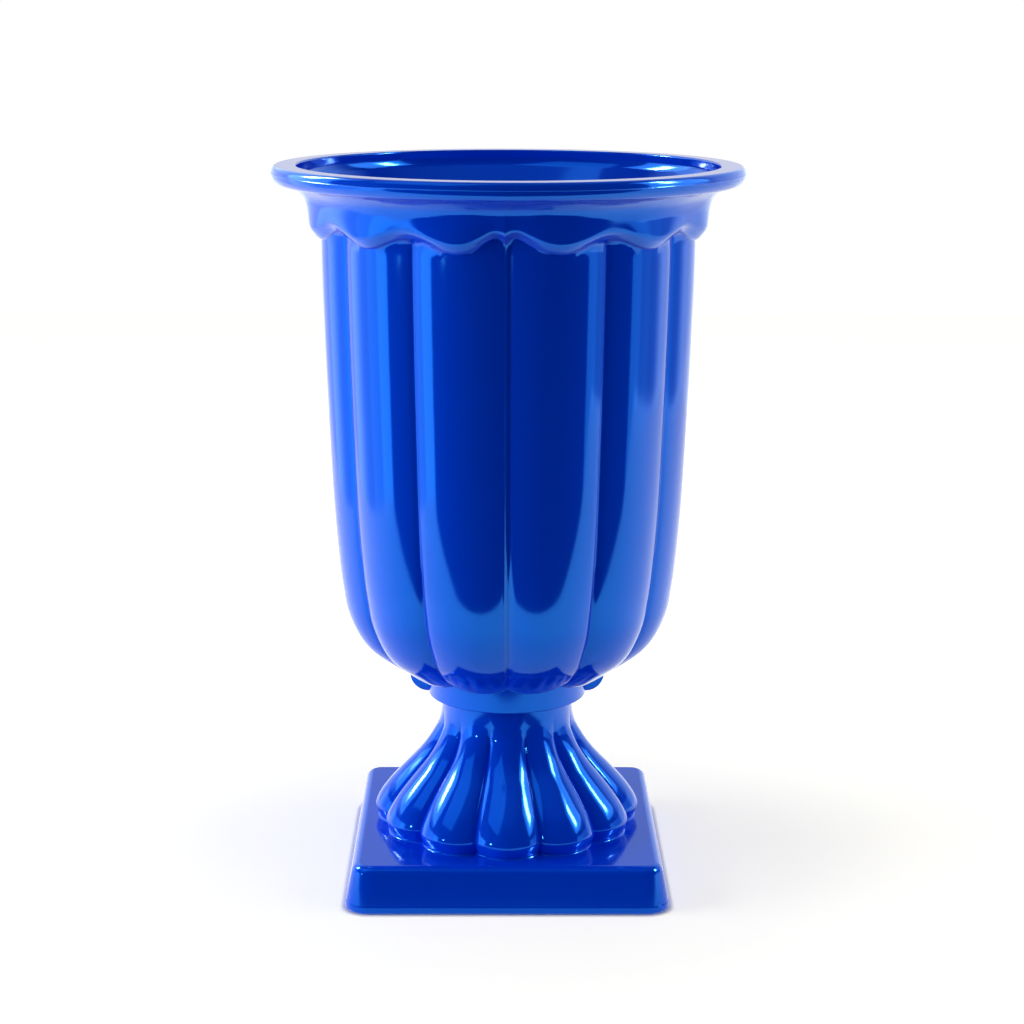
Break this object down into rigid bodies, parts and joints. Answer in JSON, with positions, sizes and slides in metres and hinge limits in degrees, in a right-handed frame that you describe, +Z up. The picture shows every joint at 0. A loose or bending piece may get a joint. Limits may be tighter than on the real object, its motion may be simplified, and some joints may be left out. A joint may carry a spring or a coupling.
{
  "type": "fluted pedestal vase",
  "caption": "Fluted urn vase in glossy blue moulded plastic, with a flared rim over a scalloped cornice, on a waisted stem and square plinth.",
  "frame": {"origin": "centre of the plinth's bottom face, on the surface that the vase stands on", "axes": "+Z up along the vase's axis; -Y towards the side of the plinth that faces the viewer; +X to the viewer's right"},
  "size_m": [0.1808, 0.1808, 0.28],
  "materials": {
    "blue_plastic": "gloss, as moulded"
  },
  "bodies": {
    "pedestal": {"pedestal": "blue_plastic"},
    "urn": {"urn": "blue_plastic"}
  },
  "joints": [
    {"name": "urn_lift", "type": "slide", "parent": "pedestal", "child": "urn", "axis": [0, 0, 1], "range_m": [0, 0.06]}
  ]
}
